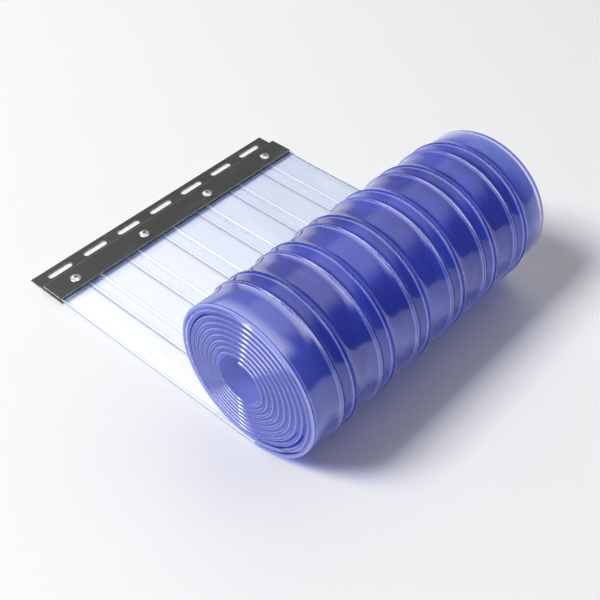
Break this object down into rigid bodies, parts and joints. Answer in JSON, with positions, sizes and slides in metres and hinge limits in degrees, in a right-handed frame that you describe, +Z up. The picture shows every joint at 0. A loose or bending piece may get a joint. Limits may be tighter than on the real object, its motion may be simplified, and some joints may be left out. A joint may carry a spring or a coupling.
{
  "type": "pvc curtain strip",
  "caption": "Clear blue ribbed PVC curtain strip, wound in a roll, its free end riveted between dark steel plates with slots for a hanging rail.",
  "frame": {"origin": "middle of the bottom of the whole part's box, on the floor it lies on", "axes": "+X along the plates and the roll's axis, +Y from the roll to the plates' slotted edge, +Z up"},
  "size_m": [0.303, 0.3498, 0.1395],
  "materials": {
    "clear_pvc": "clear, blue-tinted, glossy flexible PVC",
    "plate_paint": "dark charcoal satin paint on steel",
    "rivet_aluminium": "bright, slightly worn",
    "mandrel_steel": "dull grey, broken end"
  },
  "bodies": {
    "roll": {"strip_roll": "clear_pvc"},
    "free_end": {"strip_free_run": "clear_pvc", "back_plate": "plate_paint", "front_plate": "plate_paint", "rivet_body_1": "rivet_aluminium", "rivet_body_2": "rivet_aluminium", "rivet_body_3": "rivet_aluminium", "rivet_body_4": "rivet_aluminium", "rivet_mandrel_1": "mandrel_steel", "rivet_mandrel_2": "mandrel_steel", "rivet_mandrel_3": "mandrel_steel", "rivet_mandrel_4": "mandrel_steel"}
  },
  "joints": [
    {"name": "end_lift", "type": "hinge", "parent": "roll", "child": "free_end", "pos_m": [0, -0.0301, 0.005], "axis": [1, 0, 0], "range_deg": [0, 90]}
  ]
}
